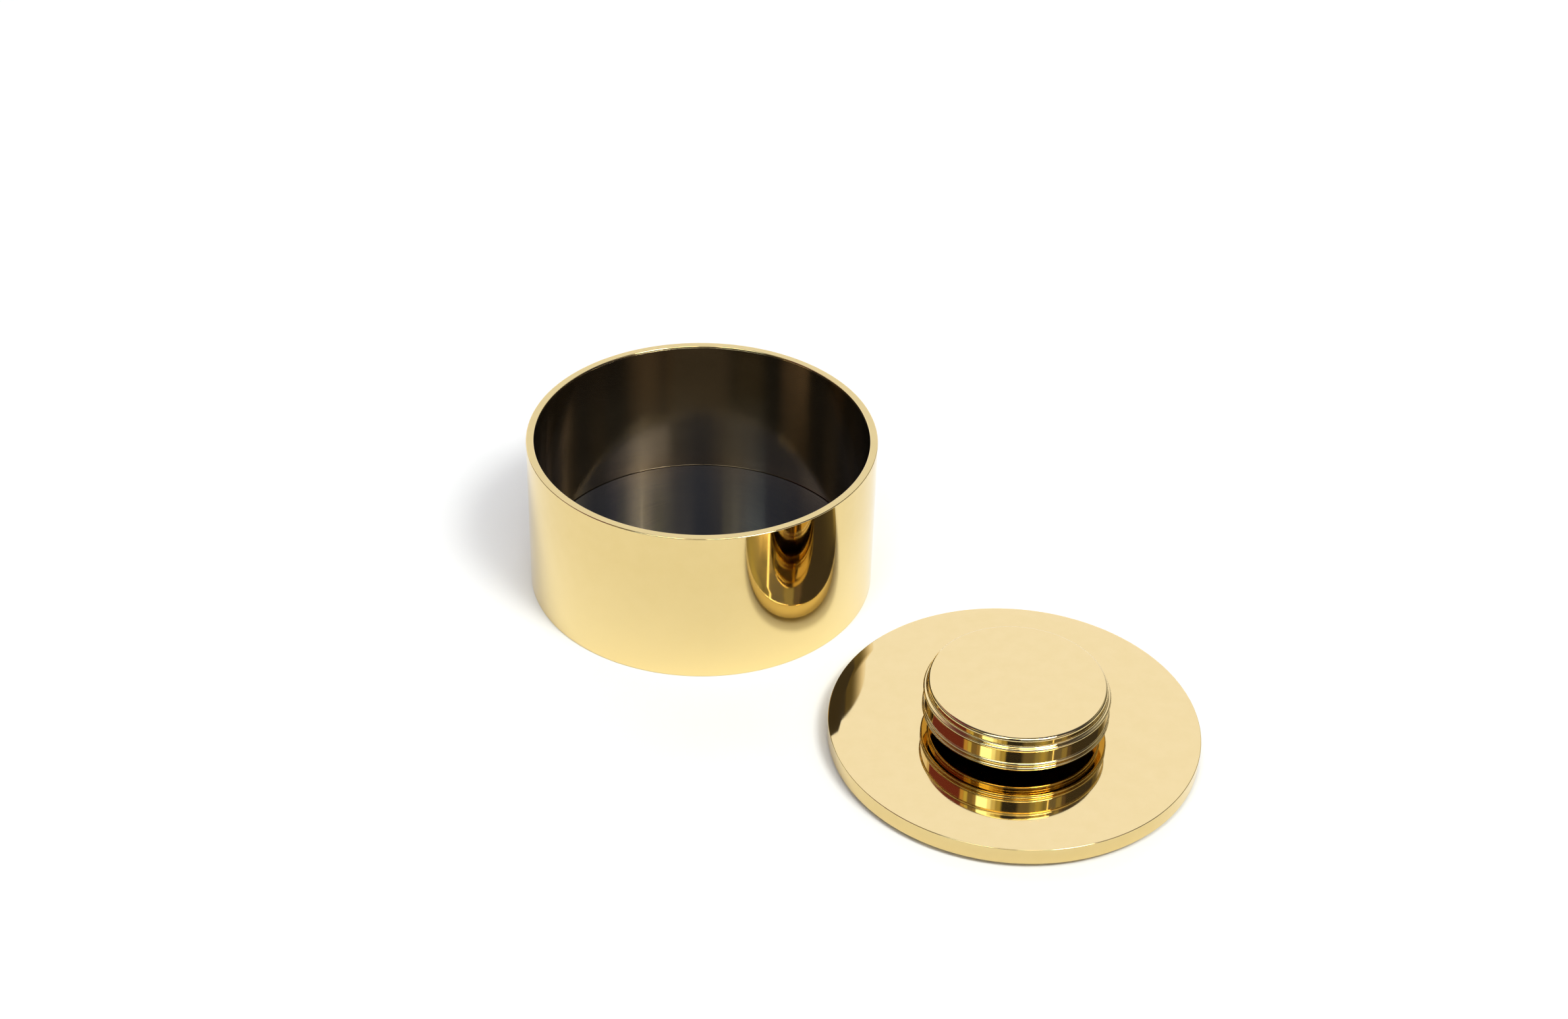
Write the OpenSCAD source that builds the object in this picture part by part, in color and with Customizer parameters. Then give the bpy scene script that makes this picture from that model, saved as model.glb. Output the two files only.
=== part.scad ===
// Low ciborium: a short round gilt bowl with a loose disc lid that lies beside it.
// The lid's knob is a turned disc with beads, held up off the lid on a narrow neck.
// Millimetres, +Z up. The origin is the middle of the bowl's underside.

/* [Bowl] */
// Outer diameter of the bowl
bowl_d = 100; // [80:1:130]
// Height of the bowl
bowl_h = 47.5; // [30:0.5:70]
// Thickness of the bowl's wall
wall_t = 2.25; // [1.5:0.05:3]
// Rounding of the rim's and the foot's edges
rim_edge = 0.3; // [0.1:0.05:0.5]
// Thickness of the plate that closes the bowl
base_t = 3.2; // [2:0.1:5]
// Thickness of the disc that lies on the bowl's floor
disc_t = 1.2; // [0.8:0.1:2]
// Gap between that disc and the wall
disc_gap = 0.15; // [0.1:0.05:0.5]

/* [Lid] */
// How far the lid reaches out past the bowl's wall
lid_overhang = 0.4; // [0:0.1:3]
// Thickness of the lid
lid_t = 4.85; // [4:0.05:6]
// Rounding of the lid's edges
lid_edge = 0.2; // [0.1:0.05:1]
// How far the locating ring stands out below the lid
ring_drop = 1.5; // [1:0.1:3]
// Width of the locating ring
ring_w = 3; // [2:0.5:6]
// Depth of the locating ring's groove in the lid
ring_seat = 0.8; // [0.5:0.1:1.2]
// Gap all round between the locating ring and the bowl's mouth
ring_play = 0.35; // [0.2:0.05:1]

/* [Place of the lid on the table] */
// Clear space between the bowl and the lid
lid_clear = 13.75; // [1:0.05:40]
// Direction of the lid from the bowl
lid_bearing = -42; // [-180:0.1:180]

/* [Knob] */
// Diameter of the knob over its beads
knob_d = 50.4; // [40:0.2:60]
// Height of the knob's head
knob_t = 11.3; // [11:0.1:14]
// Space between the lid and the knob's head
knob_gap = 3; // [2:0.1:6]
// Radius of a bead's section
bead_r = 0.55; // [0.4:0.05:0.6]
// How far the plain band lies behind the beads
band_inset = 0.35; // [0.2:0.05:0.5]
// How far the top step lies behind the beads
top_inset = 1.05; // [0.8:0.05:2]
// Rounding of the top step's edge
top_edge = 0.9; // [0.4:0.1:1.2]
// How far the bottom step lies behind the beads
foot_inset = 1.8; // [1:0.1:3]
// Height of the bottom step
foot_h = 1.3; // [1:0.1:1.5]
// Diameter of the neck's collar
neck_d = 26; // [16:1:36]

/* [Screw] */
// Nominal diameter of the screw
screw_d = 4; // [3:1:5]
// Length of the screw under its head
screw_l = 12; // [10:1:14]

/* [Hidden] */
$fn = 128;

bowl_r = bowl_d / 2;
mouth_r = bowl_r - wall_t;
floor_z = base_t + disc_t;

lid_r = bowl_r + lid_overhang;
lid_z = ring_drop;
lid_top = lid_z + lid_t;
lid_dist = bowl_r + lid_clear + lid_r;
lid_x = lid_dist * cos(lid_bearing);
lid_y = lid_dist * sin(lid_bearing);

ring_r = mouth_r - ring_play;
ring_edge = 0.3;

neck_r = neck_d / 2;
neck_edge = 0.4;
spigot_r = 5.5;
spigot_h = 1.5;

knob_r = knob_d / 2;
head_z = lid_top + knob_gap;
bead_axis_r = knob_r - bead_r;
core_r = bead_axis_r - 0.1;
band_r = knob_r - band_inset;
top_r = knob_r - top_inset;
foot_r = knob_r - foot_inset;
foot_edge = 0.5;
bead_pitch = 1.4;
lower_bead_h = foot_h + bead_r;
middle_bead_h = lower_bead_h + bead_pitch;
upper_bead_h = knob_t - 3.2;
ledge_h = upper_bead_h + bead_r;
cove_r = bead_axis_r - top_r;

screw_clear = 0.15;
screw_fit = 0.02;
screw_head_r = screw_d;
screw_head_h = 1.9;
slot_w = 1;
slot_h = 0.9;
washer_r = 4.5;
washer_t = 0.5;
sink_r = washer_r + 0.2;
sink_h = 2.5;
screw_seat_z = lid_z + sink_h - washer_t;
screw_tip_z = screw_seat_z + screw_l;
tap_h = screw_tip_z - head_z + 1;
bolt_cut = 1;

gilt = [0.95, 0.86, 0.62];
white_metal = [0.62, 0.63, 0.66];
steel = [0.72, 0.73, 0.75];

// A half section from r1 to r2 and from z1 to z2, with rounded corners on its outer side.
module round_out(r1, r2, z1, z2, edge) {
    translate([r1, z1])
        square([r2 - r1 - edge, z2 - z1]);
    translate([r1, z1 + edge])
        square([r2 - r1, z2 - z1 - 2 * edge]);
    for (z = [z1 + edge, z2 - edge])
        translate([r2 - edge, z])
            circle(r = edge);
}

// A half section with rounded corners on both sides.
module round_both(r1, r2, z1, z2, edge) {
    translate([r1 + edge, z1])
        square([r2 - r1 - 2 * edge, z2 - z1]);
    translate([r1, z1 + edge])
        square([r2 - r1, z2 - z1 - 2 * edge]);
    for (r = [r1 + edge, r2 - edge])
        for (z = [z1 + edge, z2 - edge])
            translate([r, z])
                circle(r = edge);
}

// Puts what is drawn about the Z axis at the lid's place on the table.
module at_lid() {
    translate([lid_x, lid_y, 0])
        children();
}

// The bowl's wall: an open tube with softened edges.
module body_shell() {
    color(gilt)
        rotate_extrude()
            round_both(mouth_r, bowl_r, 0, bowl_h, rim_edge);
}

// The plate that closes the tube, flush with its foot.
module base_plate() {
    color(gilt)
        cylinder(h = base_t, r = mouth_r);
}

// The loose-fitting disc that makes the bowl's floor.
module inner_disc() {
    color(white_metal)
        translate([0, 0, base_t])
            cylinder(h = disc_t, r = mouth_r - disc_gap);
}

// The lid: a flat disc with a groove for the ring and a sunk seat for the screw.
module lid_plate() {
    color(gilt)
        at_lid()
            difference() {
                rotate_extrude()
                    round_out(0, lid_r, lid_z, lid_top, lid_edge);
                ring_groove();
                screw_sink();
                translate([0, 0, lid_z])
                    cylinder(h = lid_t + bolt_cut, r = screw_d / 2 + screw_clear);
            }
}

module ring_groove() {
    rotate_extrude()
        translate([ring_r - ring_w, lid_z - bolt_cut])
            square([ring_w, ring_seat + bolt_cut]);
}

module screw_sink() {
    translate([0, 0, lid_z - bolt_cut])
        cylinder(h = sink_h + bolt_cut, r = sink_r);
}

// The ring that centres the lid in the bowl's mouth. The lid stands on it on the table.
module locating_ring() {
    color(gilt)
        at_lid()
            rotate_extrude()
                difference() {
                    translate([ring_r - ring_w, 0])
                        square([ring_w, ring_drop + ring_seat]);
                    for (r = [ring_r - ring_w, ring_r])
                        translate([r, 0])
                            rotate(45)
                                square(ring_edge * sqrt(2), center = true);
                }
}

// The neck: a collar on the lid with a spigot that centres the knob's head.
module knob_neck() {
    color(gilt)
        at_lid()
            difference() {
                union() {
                    rotate_extrude()
                        round_out(0, neck_r, lid_top, head_z, neck_edge);
                    translate([0, 0, head_z])
                        cylinder(h = spigot_h, r = spigot_r);
                }
                translate([0, 0, lid_top - bolt_cut])
                    cylinder(h = knob_gap + spigot_h + 2 * bolt_cut, r = screw_d / 2 + screw_clear);
            }
}

// A bead's round section at a height above the head's underside.
module bead(h) {
    translate([bead_axis_r, h])
        circle(r = bead_r);
}

// Half section of the knob's head, from its underside up.
module head_section() {
    round_out(0, foot_r, 0, foot_h + foot_edge, foot_edge);
    translate([0, foot_h])
        square([core_r, ledge_h - foot_h]);
    translate([0, lower_bead_h - bead_r])
        square([bead_axis_r, 2 * bead_r]);
    bead(lower_bead_h);
    bead(middle_bead_h);
    bead(upper_bead_h);
    translate([0, middle_bead_h])
        square([bead_axis_r, bead_r]);
    translate([0, middle_bead_h + bead_r])
        square([band_r, upper_bead_h - middle_bead_h - 2 * bead_r]);
    translate([0, upper_bead_h - bead_r])
        square([bead_axis_r, 2 * bead_r]);
    round_out(0, top_r, ledge_h - top_edge, knob_t, top_edge);
    translate([0, ledge_h])
        top_cove();
}

// The hollow curve between the upper bead's ledge and the top step.
module top_cove() {
    difference() {
        square([bead_axis_r, cove_r]);
        translate([bead_axis_r, cove_r])
            circle(r = cove_r);
    }
}

// The knob's head: a turned disc, drilled from below for the neck's spigot and the screw.
module knob_head() {
    color(gilt)
        at_lid()
            translate([0, 0, head_z])
                difference() {
                    rotate_extrude()
                        head_section();
                    translate([0, 0, -bolt_cut])
                        cylinder(h = spigot_h + bolt_cut, r = spigot_r);
                    cylinder(h = tap_h, r = screw_d / 2);
                }
}

// The screw: a slotted flat head sunk in the lid's underside, and a plain shank.
module knob_screw() {
    color(steel)
        at_lid()
            translate([0, 0, screw_seat_z]) {
                difference() {
                    translate([0, 0, -screw_head_h])
                        cylinder(h = screw_head_h, r = screw_head_r);
                    translate([-screw_head_r - bolt_cut, -slot_w / 2, -screw_head_h - bolt_cut])
                        cube([2 * (screw_head_r + bolt_cut), slot_w, slot_h + bolt_cut]);
                }
                cylinder(h = screw_l, r = screw_d / 2 - screw_fit);
            }
}

// The washer between the screw's head and the lid.
module screw_washer() {
    color(steel)
        at_lid()
            translate([0, 0, screw_seat_z])
                difference() {
                    cylinder(h = washer_t, r = washer_r);
                    translate([0, 0, -bolt_cut])
                        cylinder(h = washer_t + 2 * bolt_cut, r = screw_d / 2 + screw_clear);
                }
}

body_shell();
base_plate();
inner_disc();
lid_plate();
locating_ring();
knob_neck();
knob_head();
knob_screw();
screw_washer();
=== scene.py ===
import math

import bpy
from mathutils import Matrix, Vector


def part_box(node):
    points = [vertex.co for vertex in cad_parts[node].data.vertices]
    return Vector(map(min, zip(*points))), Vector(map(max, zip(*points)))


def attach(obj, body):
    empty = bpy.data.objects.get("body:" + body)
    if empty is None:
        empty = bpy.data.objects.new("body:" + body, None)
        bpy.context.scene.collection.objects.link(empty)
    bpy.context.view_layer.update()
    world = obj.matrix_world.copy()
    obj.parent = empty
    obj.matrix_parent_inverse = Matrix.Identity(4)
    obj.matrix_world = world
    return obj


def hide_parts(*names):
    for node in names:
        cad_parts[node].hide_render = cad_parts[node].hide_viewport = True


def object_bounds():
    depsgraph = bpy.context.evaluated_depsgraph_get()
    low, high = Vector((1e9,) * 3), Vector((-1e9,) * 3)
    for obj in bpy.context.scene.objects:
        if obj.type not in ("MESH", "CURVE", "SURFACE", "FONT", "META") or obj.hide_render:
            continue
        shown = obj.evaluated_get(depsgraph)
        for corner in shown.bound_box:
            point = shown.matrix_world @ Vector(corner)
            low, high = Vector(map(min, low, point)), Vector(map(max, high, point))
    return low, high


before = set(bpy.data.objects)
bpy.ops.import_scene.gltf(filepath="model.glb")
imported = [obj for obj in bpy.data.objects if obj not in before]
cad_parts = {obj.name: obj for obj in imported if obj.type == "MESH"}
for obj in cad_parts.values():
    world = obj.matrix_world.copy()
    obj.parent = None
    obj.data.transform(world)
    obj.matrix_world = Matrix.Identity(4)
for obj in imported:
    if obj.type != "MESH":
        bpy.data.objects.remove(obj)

MM = 0.001
CAD_LOW, CAD_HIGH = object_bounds()

# ---- Camera, in the frame of the bowl's base -------------------------------------------------
CAMERA_BACK = 0.6083       # in front of the bowl's axis, along -Y
CAMERA_HEIGHT = 0.4569
CAMERA_YAW = 2.247         # degrees to the right
CAMERA_PITCH = 35.552      # degrees down
CAMERA_ROLL = -1.702       # degrees
LENS = 59.16
SENSOR = 36.0


def add_to_scene(thing):
    bpy.context.scene.collection.objects.link(thing)


# ---- Lathe work ------------------------------------------------------------------------------
SEGMENTS = 256             # steps round a piece
WIDE_SEGMENTS = 384        # steps round the wall and the lid
NECK_SEGMENTS = 128
ARC_STEP = 12.0            # degrees between the points of a rounding
WALL_ARC_STEP = 10.0
KNOB_ARC_STEP = 9.0
LID_ARC_STEP = 8.0
ON_AXIS = 1e-9             # a point nearer to the axis than this lies on it


def turned(x, y, angle):
    """A flat vector turned by an angle."""
    c, s = math.cos(angle), math.sin(angle)
    return x * c - y * s, x * s + y * c


def rounded_outline(corners, closed, arc_step):
    """Points (r, z, normal r, normal z) along an outline whose corners (r, z, rounding) are
    joined by straight runs. The solid lies to the left of the direction of travel."""
    count = len(corners)
    path = []
    for i, (r, z, rounding) in enumerate(corners):
        here = Vector((r, z))
        before = Vector(corners[i - 1][:2]) if closed or i > 0 else None
        after = Vector(corners[(i + 1) % count][:2]) if closed or i < count - 1 else None
        if before is None or after is None:
            run = (after - here if before is None else here - before).normalized()
            path.append((r, z, run.y, -run.x))
            continue
        run_in = (here - before).normalized()
        run_out = (after - here).normalized()
        turn = math.atan2(run_in.x * run_out.y - run_in.y * run_out.x, run_in.dot(run_out))
        reach = rounding * math.tan(abs(turn) / 2)
        start = here - run_in * reach
        side = 1.0 if turn > 0 else -1.0
        centre = start + Vector((-run_in.y, run_in.x)) * rounding * side
        spoke = start - centre
        steps = max(2, math.ceil(abs(math.degrees(turn)) / arc_step))
        for k in range(steps + 1):
            angle = turn * k / steps
            point = centre + Vector(turned(spoke.x, spoke.y, angle))
            path.append((point.x, point.y, *turned(run_in.y, -run_in.x, angle)))
    return path


def lathe(name, corners, closed=True, axis=(0.0, 0.0), segments=SEGMENTS, arc_step=ARC_STEP):
    """A turned solid about a vertical axis, with the true normals of its outline."""
    verts, normals, rings = [], [], []
    for r, z, nr, nz in rounded_outline(corners, closed, arc_step):
        if r < ON_AXIS:
            rings.append([len(verts)] * segments)
            verts.append((0.0, 0.0, z))
            normals.append((0.0, 0.0, math.copysign(1.0, nz)))
            continue
        rings.append(list(range(len(verts), len(verts) + segments)))
        for k in range(segments):
            angle = 2 * math.pi * k / segments
            c, s = math.cos(angle), math.sin(angle)
            verts.append((r * c, r * s, z))
            normals.append((nr * c, nr * s, nz))
    next_rings = rings[1:] + rings[:1] if closed else rings[1:]
    faces = []
    for low, high in zip(rings, next_rings):
        for k in range(segments):
            j = (k + 1) % segments
            face = [low[k], low[j], high[j], high[k]]
            faces.append(list(dict.fromkeys(face)))
    mesh = bpy.data.meshes.new(name)
    mesh.from_pydata(verts, [], faces)
    mesh.update()
    mesh.polygons.foreach_set("use_smooth", [True] * len(faces))
    mesh.normals_split_custom_set_from_vertices(normals)
    piece = bpy.data.objects.new(name, mesh)
    piece.location = (axis[0], axis[1], 0.0)
    add_to_scene(piece)
    return piece


def middle(node):
    """Where a CAD node's upright axis stands."""
    low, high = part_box(node)
    return ((low[0] + high[0]) / 2, (low[1] + high[1]) / 2)


def radius(node):
    low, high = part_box(node)
    return (high[0] - low[0]) / 2


# ---- Node trees ------------------------------------------------------------------------------
NOISE_LOW = 0.3            # most of a noise's values lie between these two
NOISE_HIGH = 0.7


class Nodes:
    """A node tree, with short ways to add to it."""

    def __init__(self, tree):
        self.tree = tree

    def add(self, kind, **settings):
        """A new node. Each setting names one of its properties or else one of its sockets."""
        node = self.tree.nodes.new(kind)
        for key, value in settings.items():
            if key in node.bl_rna.properties:
                setattr(node, key, value)
            else:
                node.inputs[key.replace("_", " ")].default_value = value
        return node

    def link(self, source, target):
        self.tree.links.new(source, target)

    def calc(self, operation, *values):
        """Arithmetic on numbers and on other nodes' outputs."""
        node = self.add("ShaderNodeMath", operation=operation)
        for socket, value in zip(node.inputs, values):
            if isinstance(value, (int, float)):
                socket.default_value = value
            else:
                self.link(value, socket)
        return node.outputs[0]

    def spread(self, value, low, high, start=NOISE_LOW, end=NOISE_HIGH):
        """Low at the value start, high at the value end, and straight in between."""
        node = self.add("ShaderNodeMapRange", From_Min=start, From_Max=end, To_Min=low, To_Max=high)
        self.link(value, node.inputs["Value"])
        return node.outputs["Result"]

    def rise(self, value, at, softness):
        """A soft step from 0 to 1."""
        node = self.add("ShaderNodeMapRange", interpolation_type="SMOOTHSTEP",
                        From_Min=at - softness, From_Max=at + softness)
        self.link(value, node.inputs["Value"])
        return node.outputs["Result"]

    def within(self, value, start, end, softness):
        """1 between start and end, 0 outside them, with soft steps."""
        fall = self.calc("SUBTRACT", 1.0, self.rise(value, end, softness))
        return self.calc("MULTIPLY", self.rise(value, start, softness), fall)

    def blend(self, factor, first, second):
        """A colour, or a node's colour output, mixed towards a second colour."""
        node = self.add("ShaderNodeMix", data_type="RGBA")
        if isinstance(first, tuple):
            node.inputs["A"].default_value = (*first, 1.0)
        else:
            self.link(first, node.inputs["A"])
        node.inputs["B"].default_value = (*second, 1.0)
        self.link(factor, node.inputs["Factor"])
        return node.outputs["Result"]


class Shader(Nodes):
    """A node material with one Principled shader."""

    def __init__(self, name, **sockets):
        self.material = bpy.data.materials.new(name)
        self.material.use_nodes = True
        super().__init__(self.material.node_tree)
        self.bsdf = self.tree.nodes["Principled BSDF"]
        for socket, value in sockets.items():
            self.bsdf.inputs[socket.replace("_", " ")].default_value = value

    def feed(self, socket, value):
        """Links a node's output to the Principled shader."""
        self.link(value, self.bsdf.inputs[socket])

    def position(self):
        """Object coordinates."""
        return self.add("ShaderNodeTexCoord").outputs["Object"]

    def stretched(self, scale):
        """Object coordinates, stretched."""
        mapping = self.add("ShaderNodeMapping", Scale=scale)
        self.link(self.position(), mapping.inputs["Vector"])
        return mapping.outputs["Vector"]

    def noise(self, vector, scale, detail):
        node = self.add("ShaderNodeTexNoise", Scale=scale, Detail=detail)
        self.link(vector, node.inputs["Vector"])
        return node.outputs["Fac"]

    def tint(self, pattern, first, second):
        """A colour that follows a noise."""
        colour = self.blend(self.spread(pattern, 0.0, 1.0), first, second)
        self.feed("Base Color", colour)
        return colour

    def roughen(self, pattern, low, high):
        """A roughness that follows a noise."""
        self.feed("Roughness", self.spread(pattern, low, high))

    def bump(self, height, distance):
        node = self.add("ShaderNodeBump", Distance=distance)
        self.link(height, node.inputs["Height"])
        self.feed("Normal", node.outputs["Normal"])


# ---- Materials. A noise's scale is in clouds to the metre. -----------------------------------
GILT_LIGHT = (0.748, 0.58, 0.262)
GILT_DEEP = (0.733, 0.565, 0.248)
# Painted reflection: the wall's foot is blended to this paler colour for the bright table that it
# mirrors beside the bowl.
PAINTED_REFLECTION_PALE = (0.83, 0.665, 0.325)
RIM_LIGHT = (0.64, 0.495, 0.205)
RIM_DEEP = (0.62, 0.48, 0.195)
GILT_NOISE = 240.0
GILT_ROUGHNESS = (0.035, 0.06)
PAINTED_REFLECTION_LOW = 0.05            # the painted reflection is palest below this part of the wall's height
PAINTED_REFLECTION_HIGH = 0.75           # and the gilt is plain above this part


def gilt_like(name, light, deep):
    """A polished gilt's shader and its colour output."""
    shader = Shader(name, Metallic=1.0)
    clouds = shader.noise(shader.position(), GILT_NOISE, detail=4.0)
    shader.roughen(clouds, *GILT_ROUGHNESS)
    return shader, shader.tint(clouds, light, deep)


def polished_gilt():
    return gilt_like("polished_gilt", GILT_LIGHT, GILT_DEEP)[0].material


def rim_gilt():
    """The rim's top, a little darker than the rest."""
    return gilt_like("rim_gilt", RIM_LIGHT, RIM_DEEP)[0].material


def wall_gilt_painted_reflection(height):
    """The bowl's wall, paler towards the foot: a painted reflection of the brightly lit table beside
    the bowl.
    """
    shader, colour = gilt_like("wall_gilt_painted_reflection", GILT_LIGHT, GILT_DEEP)
    axes = shader.add("ShaderNodeSeparateXYZ")
    shader.link(shader.position(), axes.inputs[0])
    # Painted reflection: the colour turns paler towards the foot, where the wall mirrors the bright
    # table.
    foot = shader.spread(axes.outputs[2], 1.0, 0.0, PAINTED_REFLECTION_LOW * height, PAINTED_REFLECTION_HIGH * height)
    shader.feed("Base Color", shader.blend(foot, colour, PAINTED_REFLECTION_PALE))
    return shader.material


BRONZE_DEEP = (0.175, 0.125, 0.063)
BRONZE_LIGHT = (0.205, 0.147, 0.075)
BRONZE_NOISE = 45.0
BRONZE_ROUGHNESS = (0.09, 0.11)


def satin_bronze():
    shader = Shader("satin_bronze", Metallic=0.97)
    clouds = shader.noise(shader.stretched((1.0, 1.0, 2.0)), BRONZE_NOISE, detail=2.0)
    shader.tint(clouds, BRONZE_DEEP, BRONZE_LIGHT)
    shader.roughen(clouds, *BRONZE_ROUGHNESS)
    return shader.material


WHITE_METAL_DEEP = (0.56, 0.68, 0.95)
WHITE_METAL_LIGHT = (0.70, 0.82, 1.0)
# Painted highlight: the disc turns to this lighter colour near its edge, for the bright arc along its
# seam with the lining.
WHITE_METAL_PAINTED_ARC = (0.70, 0.79, 0.98)
WHITE_METAL_ROUGHNESS = (0.055, 0.085)
TURNED_RINGS = 1800.0      # scale of the noise that makes the rings
RING_HEIGHT = 0.003 * MM
PAINTED_ARC_FROM = 0.80         # where the painted highlight at the edge starts, as a part of the disc's radius


def brushed_white_metal(reach):
    """A turned disc with fine rings and a lighter border, a painted highlight along its seam with the
    lining.
    """
    shader = Shader("brushed_white_metal", Metallic=0.985, Anisotropic=0.6, Anisotropic_Rotation=0.25)
    length = shader.add("ShaderNodeVectorMath", operation="LENGTH")
    shader.link(shader.position(), length.inputs[0])
    distance = length.outputs["Value"]
    noise = shader.add("ShaderNodeTexNoise", noise_dimensions="1D", Scale=TURNED_RINGS, Detail=4.0)
    shader.link(distance, noise.inputs["W"])
    rings = noise.outputs["Fac"]
    colour = shader.tint(rings, WHITE_METAL_DEEP, WHITE_METAL_LIGHT)
    # Painted highlight: lighter towards the disc's edge.
    painted_arc = shader.spread(distance, 0.0, 1.0, PAINTED_ARC_FROM * reach, reach)
    shader.feed("Base Color", shader.blend(painted_arc, colour, WHITE_METAL_PAINTED_ARC))
    shader.roughen(rings, *WHITE_METAL_ROUGHNESS)
    tangent = shader.add("ShaderNodeTangent", direction_type="RADIAL", axis="Z")
    shader.feed("Tangent", tangent.outputs["Tangent"])
    shader.bump(rings, RING_HEIGHT)
    return shader.material


STEEL_DEEP = (0.50, 0.51, 0.53)
STEEL_LIGHT = (0.62, 0.62, 0.64)
STEEL_ROUGHNESS = (0.2, 0.32)
TOOL_MARKS = 800.0         # scale of the noise that makes the tool's marks
TOOL_MARK_HEIGHT = 0.01 * MM


def machined_steel():
    shader = Shader("machined_steel", Metallic=1.0)
    marks = shader.noise(shader.stretched((1.0, 1.0, 8.0)), TOOL_MARKS, detail=4.0)
    shader.tint(marks, STEEL_DEEP, STEEL_LIGHT)
    shader.roughen(marks, *STEEL_ROUGHNESS)
    shader.bump(marks, TOOL_MARK_HEIGHT)
    return shader.material


FLOOR_LIGHT = (0.89, 0.905, 0.865)
FLOOR_DEEP = (0.88, 0.895, 0.855)
FLOOR_NOISE = 30.0


def pale_floor():
    shader = Shader("pale_floor", Roughness=0.9, Specular_IOR_Level=0.0)
    grain = shader.noise(shader.position(), FLOOR_NOISE, detail=3.0)
    shader.tint(grain, FLOOR_LIGHT, FLOOR_DEEP)
    return shader.material


# ---- Pieces ----------------------------------------------------------------------------------
HAIR = 0.08 * MM           # rounding of an edge that looks sharp


def dress(piece, material, body, node):
    """Gives a piece its material, its body and the CAD node that it replaces."""
    piece.data.materials.append(material)
    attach(piece, body)
    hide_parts(node)


RIM_EDGE = 0.3 * MM
LIP = 0.6 * MM             # height of the polished lip inside the mouth
SKIN = 1.1 * MM            # thickness of the polished part of the wall below the lip
LEVEL = 0.99               # a face is level when its normal rises more than this
RIM_SLOT = 1               # the rim's place among the wall's materials


def make_bowl(gilt, rim, bronze):
    low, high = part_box("body_shell")
    outer = radius("body_shell")
    mouth = radius("base_plate")
    top, split = high[2], outer - SKIN
    wall = [
        (split, low[2], HAIR), (outer, low[2], RIM_EDGE), (outer, top, RIM_EDGE),
        (mouth, top, RIM_EDGE), (mouth, top - LIP, HAIR), (split, top - LIP, HAIR),
    ]
    lining = [
        (mouth, low[2], HAIR), (split, low[2], HAIR),
        (split, top - LIP, HAIR), (mouth, top - LIP, HAIR),
    ]
    piece = lathe("bowl_wall", wall, segments=WIDE_SEGMENTS, arc_step=WALL_ARC_STEP)
    dress(piece, gilt, "bowl", "body_shell")
    piece.data.materials.append(rim)
    for face in piece.data.polygons:
        if face.center.z > top - HAIR and face.normal.z > LEVEL:
            face.material_index = RIM_SLOT
    dress(lathe("bowl_lining", lining), bronze, "bowl", "body_shell")


def make_floor_disc(metal):
    low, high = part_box("inner_disc")
    reach = radius("inner_disc")
    disc = [(0, low[2], 0), (reach, low[2], HAIR), (reach, high[2], 2 * HAIR), (0, high[2], 0)]
    dress(lathe("floor_disc", disc, closed=False), metal, "bowl", "inner_disc")


LID_EDGE = 0.2 * MM
BUFFED_WIDTH = 3.0 * MM    # band along the lid's edge that buffing has lowered
BUFFED_DROP = 0.12 * MM
BUFFED_ROUNDING = 30 * MM  # where that band meets the flat
SCREW_HOLE = 2.15 * MM     # radius
SINK_RADIUS = 4.7 * MM     # hollow for the screw's head
SINK_DEPTH = 2.5 * MM


def make_lid(gilt):
    low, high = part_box("lid_plate")
    reach, axis = radius("lid_plate"), middle("lid_plate")
    plate = [
        (SINK_RADIUS, low[2], HAIR), (reach, low[2], LID_EDGE),
        (reach, high[2] - BUFFED_DROP, LID_EDGE), (reach - BUFFED_WIDTH, high[2], BUFFED_ROUNDING),
        (SCREW_HOLE, high[2], HAIR), (SCREW_HOLE, low[2] + SINK_DEPTH, HAIR),
        (SINK_RADIUS, low[2] + SINK_DEPTH, HAIR),
    ]
    piece = lathe("lid_disc", plate, axis=axis, segments=WIDE_SEGMENTS, arc_step=LID_ARC_STEP)
    dress(piece, gilt, "lid", "lid_plate")


RING_WIDTH = 3.0 * MM
RING_EDGE = 0.3 * MM


def make_ring(gilt):
    """The locating ring below the lid's underside."""
    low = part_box("locating_ring")[0]
    lid_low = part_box("lid_plate")[0][2]
    reach, axis = radius("locating_ring"), middle("locating_ring")
    ring = [
        (reach - RING_WIDTH, low[2], RING_EDGE), (reach, low[2], RING_EDGE),
        (reach, lid_low, HAIR), (reach - RING_WIDTH, lid_low, HAIR),
    ]
    dress(lathe("lid_ring", ring, axis=axis), gilt, "lid", "locating_ring")


NECK_EDGE = 0.4 * MM


def make_neck(gilt):
    """The collar between the lid and the knob's head."""
    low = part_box("knob_neck")[0]
    head_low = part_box("knob_head")[0][2]
    reach, axis = radius("knob_neck"), middle("knob_neck")
    neck = [
        (SCREW_HOLE, low[2], HAIR), (reach, low[2], NECK_EDGE),
        (reach, head_low, NECK_EDGE), (SCREW_HOLE, head_low, HAIR),
    ]
    piece = lathe("neck_collar", neck, axis=axis, segments=NECK_SEGMENTS)
    dress(piece, gilt, "lid", "knob_neck")


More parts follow.
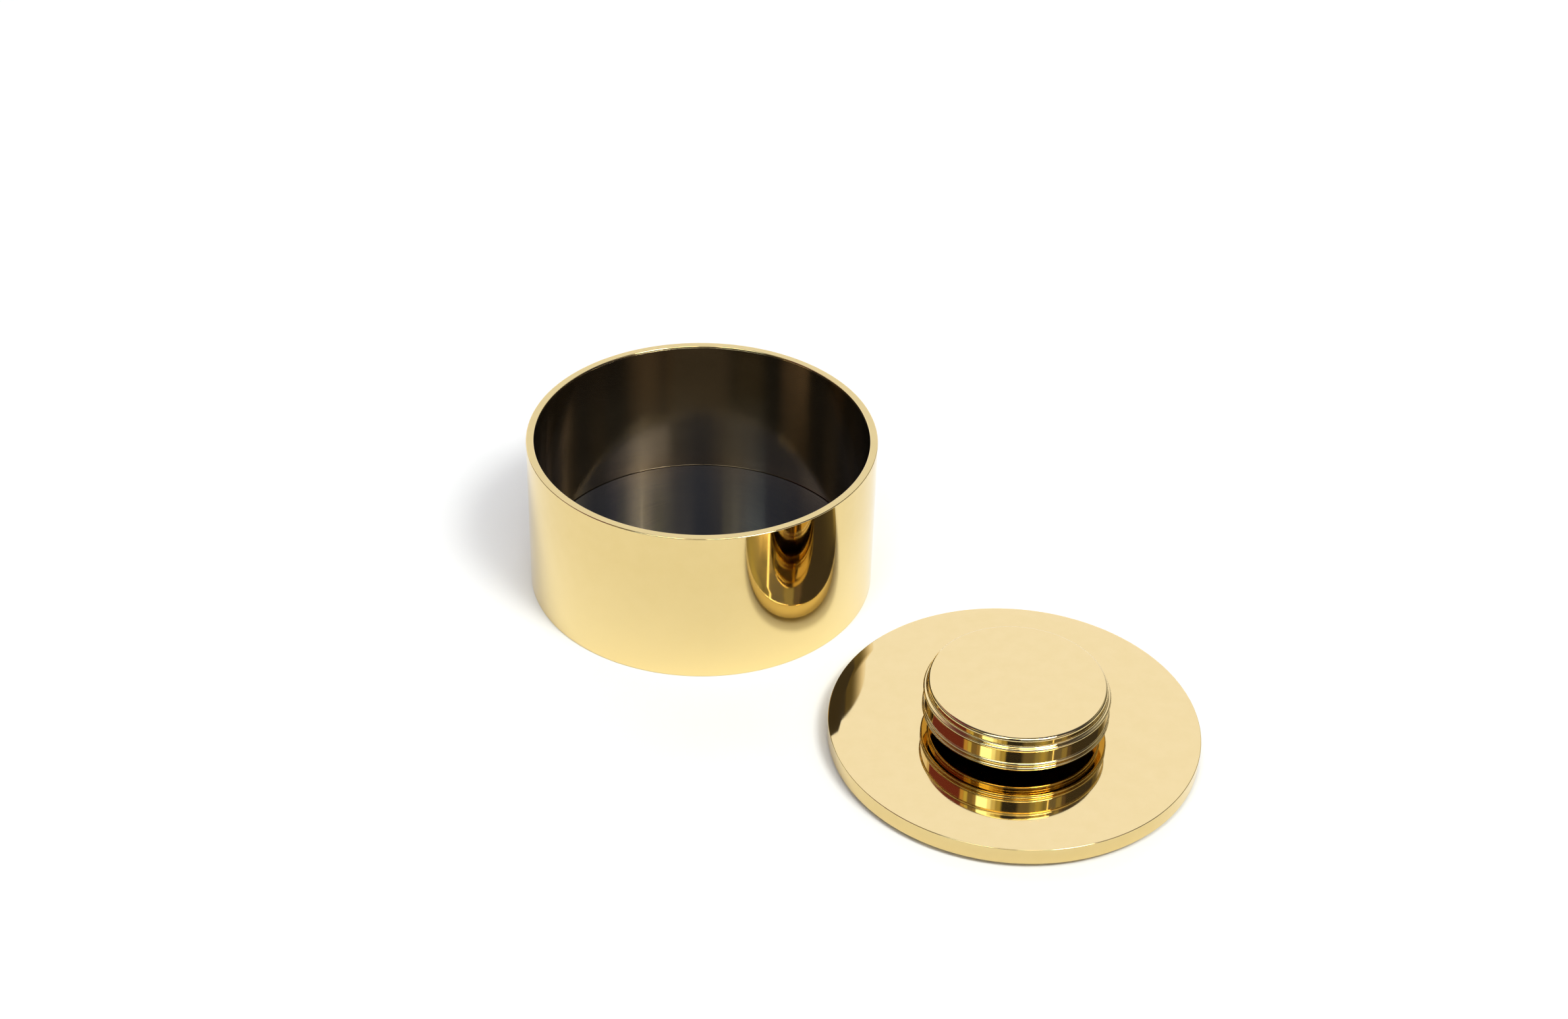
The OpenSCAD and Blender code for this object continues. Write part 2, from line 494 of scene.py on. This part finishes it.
BEAD = 0.55 * MM           # radius of a bead's section
BEAD_PITCH = 1.4 * MM
BEAD_FILL = 0.999          # rounding of a bead's corners, as a part of its radius
UPPER_BEAD_DOWN = 3.2 * MM  # from the knob's top to the upper bead's middle
GROOVE_INSET = 0.65 * MM   # the groove between the two lower beads
BAND_INSET = 0.35 * MM     # the plain band
TOP_INSET = 1.05 * MM      # the top step
TOP_EDGE = 0.9 * MM
COVE_FILL = 0.98           # rounding of the cove, as a part of the ledge's width
FOOT_INSET = 1.8 * MM      # the bottom step
FOOT_HEIGHT = 1.3 * MM
FOOT_EDGE = 0.5 * MM
SCREW_RADIUS = 2.0 * MM
SPIGOT_RADIUS = 5.5 * MM   # hollow for the neck's spigot
SPIGOT_HEIGHT = 1.5 * MM
TAP_CLEAR = 1.0 * MM       # hole beyond the screw's tip


def make_knob(gilt):
    low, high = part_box("knob_head")
    reach, axis = radius("knob_head"), middle("knob_head")
    bottom, top = low[2], high[2]
    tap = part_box("knob_screw")[1][2] + TAP_CLEAR
    foot, band, step = reach - FOOT_INSET, reach - BAND_INSET, reach - TOP_INSET
    groove = reach - GROOVE_INSET
    crest = BEAD * BEAD_FILL
    cove = (reach - BEAD - step) * COVE_FILL
    bead_1 = bottom + FOOT_HEIGHT + BEAD
    bead_2 = bead_1 + BEAD_PITCH
    bead_3 = top - UPPER_BEAD_DOWN
    outline = [
        (0, tap, 0), (SCREW_RADIUS, tap, HAIR),
        (SCREW_RADIUS, bottom + SPIGOT_HEIGHT, HAIR), (SPIGOT_RADIUS, bottom + SPIGOT_HEIGHT, HAIR),
        (SPIGOT_RADIUS, bottom, HAIR), (foot, bottom, FOOT_EDGE), (foot, bead_1 - BEAD, HAIR),
        (reach, bead_1 - BEAD, crest), (reach, bead_1 + BEAD, crest),
        (groove, bead_1 + BEAD, HAIR), (groove, bead_2 - BEAD, HAIR),
        (reach, bead_2 - BEAD, crest), (reach, bead_2 + BEAD, crest), (band, bead_2 + BEAD, HAIR),
        (band, bead_3 - BEAD, HAIR), (reach, bead_3 - BEAD, crest), (reach, bead_3 + BEAD, crest),
        (step, bead_3 + BEAD, cove), (step, top, TOP_EDGE), (0, top, 0),
    ]
    piece = lathe("knob_top", outline, closed=False, axis=axis, arc_step=KNOB_ARC_STEP)
    dress(piece, gilt, "lid", "knob_head")


def finish_cad_nodes(gilt, steel):
    """Materials for the CAD nodes that are shown as they are."""
    for node, material in (("base_plate", gilt), ("knob_screw", steel), ("screw_washer", steel)):
        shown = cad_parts[node]
        shown.data.materials.clear()
        shown.data.materials.append(material)


# ---- Surroundings ----------------------------------------------------------------------------
# Each patch of the room: azimuth from and to, elevation from and to, softness of its upright and
# of its level edges, in degrees, and its colour. Azimuth is measured from the camera's side, -Y,
# and grows towards +X. An azimuth past 180 or -180 means no edge there. A later patch covers an
# earlier one.
ROOM = (0.07, 0.07, 0.10)
BACKDROP = (1.215, 1.255, 1.53)
BACKDROP_TOP = 56
SEEN_WHITE = (1.0, 1.0, 1.0)
PATCHES = [
    # The backdrop behind the object, with a dark strip at one end and a warm strip at the other.
    (121, 200, -90, BACKDROP_TOP, 0.5, 4, (0.16, 0.15, 0.12)),
    (143, 200, -90, BACKDROP_TOP, 15, 4, BACKDROP),
    (-200, -132, -90, BACKDROP_TOP, 8, 4, BACKDROP),
    (-138, -131, 5, 56, 1, 2, (0.95, 0.88, 0.80)),
    # Low bands and glows for the bowl's lining and floor disc.
    (95, 135, 28, 35, 12, 2, (0.75, 0.75, 0.65)),
    (-125, -82, 30, 34.0, 25, 1, (2.3, 2.1, 2.2)),
    (-75, 72, 33, 36, 6, 0.8, (0.13, 0.13, 0.18)),
    (-75, 72, 35.1, 36.4, 6, 0.2, (0.04, 0.05, 0.12)),
    (-40, -8, 33.4, 35.2, 8, 0.4, (0.40, 0.34, 0.30)),
    (-32, -18, 35.3, 36.2, 6, 0.3, (0.55, 0.50, 0.48)),
    (16, 46, 33.0, 35.05, 12, 0.3, (0.40, 0.33, 0.26)),
    (38, 54, 35.3, 36.4, 7, 0.3, (4.4, 4.0, 3.4)),
    (30, 66, 28, 33.0, 10, 0.4, (2.4, 2.1, 2.2)),
    (24, 42, 28, 32.3, 5, 0.3, (3.6, 3.2, 3.3)),
    # Dark red, with four narrow stripes beside it.
    (-131, -70, 38.5, 62, 1, 0.5, (0.24, 0.06, 0.10)),
    (-70.5, -65, 38.5, 60, 1, 1, (0.83, 0.60, 0.34)),
    (-65, -59.5, 38.5, 60, 1, 1, (0.88, 0.89, 0.50)),
    (-59.5, -52.5, 38.5, 60, 1, 1, (0.32, 0.28, 0.26)),
    (-52.5, -47.5, 38.5, 60, 1, 1, (0.49, 0.41, 0.32)),
    # Three stripes that grow darker away from the window, and the window.
    (-34, -27, 38, 50, 2, 1, (1.7, 2.1, 2.5)),
    (-27.5, -21.5, 37, 50, 2, 2, (1.10, 1.16, 1.05)),
    (-21.5, -15, 37, 50, 2, 2, (0.69, 0.69, 0.45)),
    (-47.5, -33, 38, 48, 1, 1, (2.8, 3.6, 4.6)),
    # Grey and olive stripes on the other side.
    (6, 21, 36, 50, 3, 0.3, (0.24, 0.24, 0.28)),
    (20.5, 39.5, 36, 50, 3, 0.3, (0.44, 0.46, 0.44)),
    (28, 35, 36, 50, 3, 0.3, (0.66, 0.67, 0.46)),
    (39.5, 45, 36, 50, 1, 0.3, (0.34, 0.35, 0.36)),
    (45, 56, 36, 50, 1, 0.3, (0.24, 0.25, 0.38)),
    (56, 64.5, 36, 50, 1.5, 0.3, (0.42, 0.42, 0.40)),
    (64.5, 70, 36, 50, 1.5, 0.3, (0.17, 0.15, 0.22)),
    # The bright ceiling, the dark figure behind the camera and a thin bright line.
    (-50, 45, 52, 80, 1, 1, (5.5, 5.5, 5.5)),
    (-14.5, 4, 36, 68, 1.5, 1, (0.04, 0.045, 0.08)),
    (44.0, 45.2, 36, 50, 0.3, 0.3, (3.2, 3.1, 2.9)),
]


def make_room():
    """The room that the metal mirrors: pale behind the object, dark on the camera's side. What
    the camera sees of it directly is white."""
    world = bpy.data.worlds.new("room")
    bpy.context.scene.world = world
    world.use_nodes = True
    world.node_tree.nodes.clear()
    nodes = Nodes(world.node_tree)
    coords = nodes.add("ShaderNodeTexCoord")
    axes = nodes.add("ShaderNodeSeparateXYZ")
    nodes.link(coords.outputs["Generated"], axes.inputs[0])
    x, y, z = axes.outputs
    bearing = nodes.calc("ARCTAN2", x, nodes.calc("MULTIPLY", y, -1.0))
    azimuth = nodes.calc("MULTIPLY", bearing, math.degrees(1.0))
    elevation = nodes.calc("MULTIPLY", nodes.calc("ARCSINE", z), math.degrees(1.0))
    colour = ROOM
    for az_from, az_to, el_from, el_to, az_soft, el_soft, shade in PATCHES:
        mask = nodes.calc("MULTIPLY", nodes.within(azimuth, az_from, az_to, az_soft),
                          nodes.within(elevation, el_from, el_to, el_soft))
        colour = nodes.blend(mask, colour, shade)
    path = nodes.add("ShaderNodeLightPath")
    colour = nodes.blend(path.outputs["Is Camera Ray"], colour, SEEN_WHITE)
    background = nodes.add("ShaderNodeBackground")
    output = nodes.add("ShaderNodeOutputWorld")
    nodes.link(colour, background.inputs["Color"])
    nodes.link(background.outputs[0], output.inputs["Surface"])


KEY_AZIMUTH = 43.5         # degrees, measured like the patches of the room
KEY_ELEVATION = 54
KEY_DISTANCE = 4.0         # from the bowl
KEY_SIZE = 1.24
KEY_POWER = 84.5


def make_key_light():
    """A soft round light aimed at the bowl. It makes the shadows on the table."""
    azimuth, elevation = math.radians(KEY_AZIMUTH), math.radians(KEY_ELEVATION)
    level = math.cos(elevation)
    way = Vector((math.sin(azimuth) * level, -math.cos(azimuth) * level, math.sin(elevation)))
    data = bpy.data.lights.new("key_light", "AREA")
    data.shape = "DISK"
    data.size = KEY_SIZE
    data.energy = KEY_POWER
    lamp = bpy.data.objects.new("key_light", data)
    lamp.location = way * KEY_DISTANCE
    lamp.rotation_mode = "QUATERNION"
    lamp.rotation_quaternion = way.to_track_quat("Z", "Y")
    lamp.visible_camera = False
    add_to_scene(lamp)


TABLE_REACH = 12.0         # from its middle to each side


def make_table_top():
    reach = TABLE_REACH
    corners = [(-reach, -reach, 0), (reach, -reach, 0), (reach, reach, 0), (-reach, reach, 0)]
    mesh = bpy.data.meshes.new("table_top")
    mesh.from_pydata(corners, [], [(0, 1, 2, 3)])
    mesh.materials.append(pale_floor())
    top = bpy.data.objects.new("table_top", mesh)
    top.location = (0.0, 0.0, float(CAD_LOW[2]))
    add_to_scene(top)


def make_camera():
    yaw, pitch, roll = (math.radians(v) for v in (CAMERA_YAW, CAMERA_PITCH, CAMERA_ROLL))
    ahead = Vector((math.sin(yaw) * math.cos(pitch), math.cos(yaw) * math.cos(pitch), -math.sin(pitch)))
    level = Vector((math.cos(yaw), -math.sin(yaw), 0.0))
    down = ahead.cross(level)
    right = level * math.cos(roll) + down * math.sin(roll)
    up = level * math.sin(roll) - down * math.cos(roll)
    turn = Matrix((right, up, -ahead)).transposed()
    data = bpy.data.cameras.new("camera")
    data.lens = LENS
    data.sensor_width = SENSOR
    camera = bpy.data.objects.new("camera", data)
    camera.matrix_world = Matrix.Translation((0.0, -CAMERA_BACK, CAMERA_HEIGHT)) @ turn.to_4x4()
    add_to_scene(camera)
    bpy.context.scene.camera = camera


def main():
    bpy.context.scene.view_settings.view_transform = "Standard"
    make_camera()
    make_room()
    make_table_top()
    make_key_light()
    gilt = polished_gilt()
    make_bowl(wall_gilt_painted_reflection(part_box("body_shell")[1][2]), rim_gilt(), satin_bronze())
    make_floor_disc(brushed_white_metal(radius("inner_disc")))
    make_lid(gilt)
    make_ring(gilt)
    make_neck(gilt)
    make_knob(gilt)
    finish_cad_nodes(gilt, machined_steel())


main()
